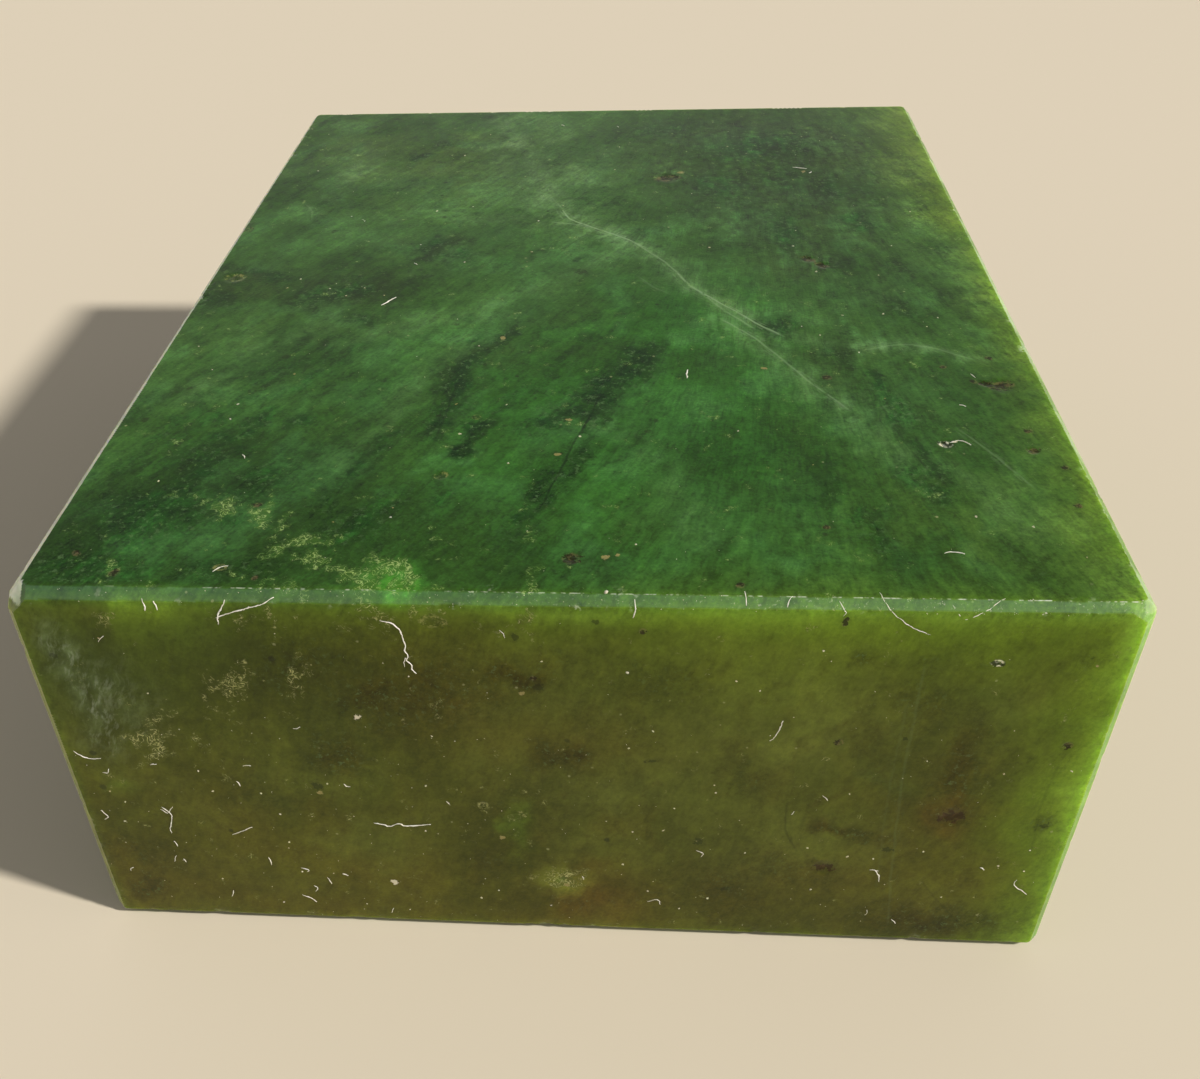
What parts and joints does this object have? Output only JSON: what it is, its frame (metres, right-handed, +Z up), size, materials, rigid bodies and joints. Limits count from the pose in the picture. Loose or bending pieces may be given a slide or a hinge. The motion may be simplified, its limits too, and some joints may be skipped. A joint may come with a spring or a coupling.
{
  "type": "jade block",
  "caption": "Sawn and honed rectangular block of green nephrite jade with ground bevelled edges, standing on its flat base.",
  "frame": {"origin": "middle of the bottom of the block's bounding box, on the plane it stands on", "axes": "+Z up from the sawn base to the honed top, +Y from the front face to the back face along the longest side, +X across the front face from left to right"},
  "size_m": [0.1004, 0.1308, 0.0483],
  "materials": {
    "jade": "honed satin, translucent at the edges, frosted ground bevels"
  },
  "bodies": {
    "root": {"jade_block": "jade"}
  },
  "joints": []
}
